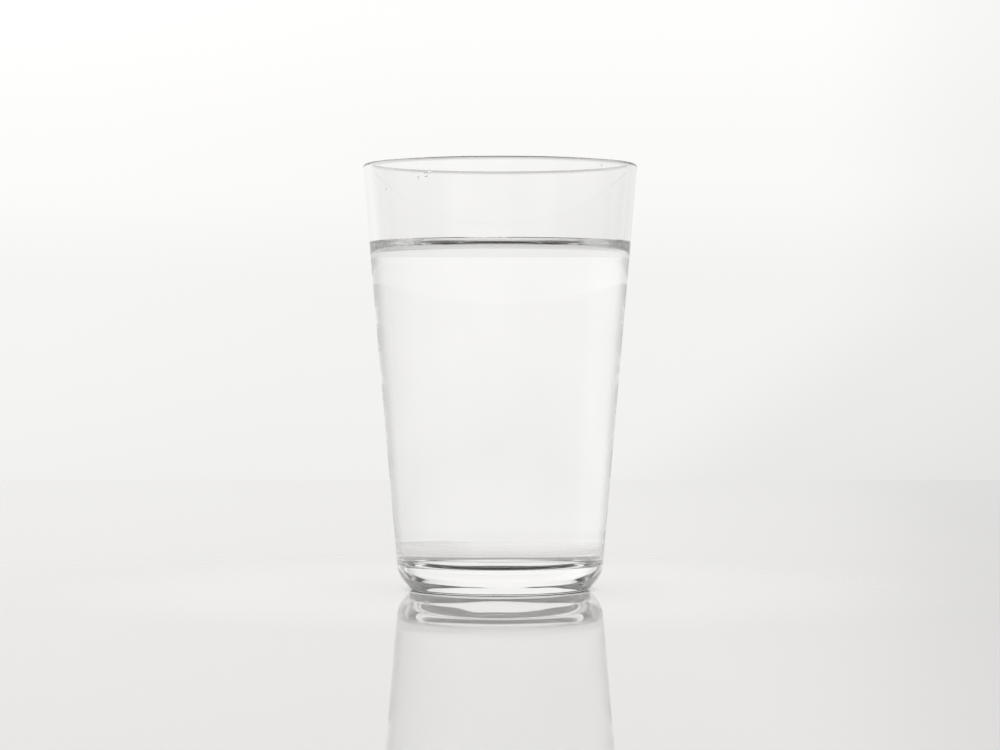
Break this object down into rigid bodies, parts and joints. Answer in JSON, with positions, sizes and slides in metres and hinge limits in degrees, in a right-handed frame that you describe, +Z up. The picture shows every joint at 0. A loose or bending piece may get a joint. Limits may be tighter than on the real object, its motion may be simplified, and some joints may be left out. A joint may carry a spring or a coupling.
{
  "type": "glass of water",
  "caption": "Clear conical drinking glass with a thick rounded base, filled with still water to a level below its rim, standing on the flat ring of its foot.",
  "frame": {"origin": "centre of the foot, on the plane the glass stands on", "axes": "+Z up along the glass's axis, towards its rim; X and Y are alike"},
  "size_m": [0.08, 0.08, 0.124],
  "materials": {
    "clear_glass": "clear, colourless, smooth and polished soda-lime glass",
    "still_water": "clear, colourless still water"
  },
  "bodies": {
    "root": {"glass": "clear_glass", "water": "still_water"}
  },
  "joints": []
}
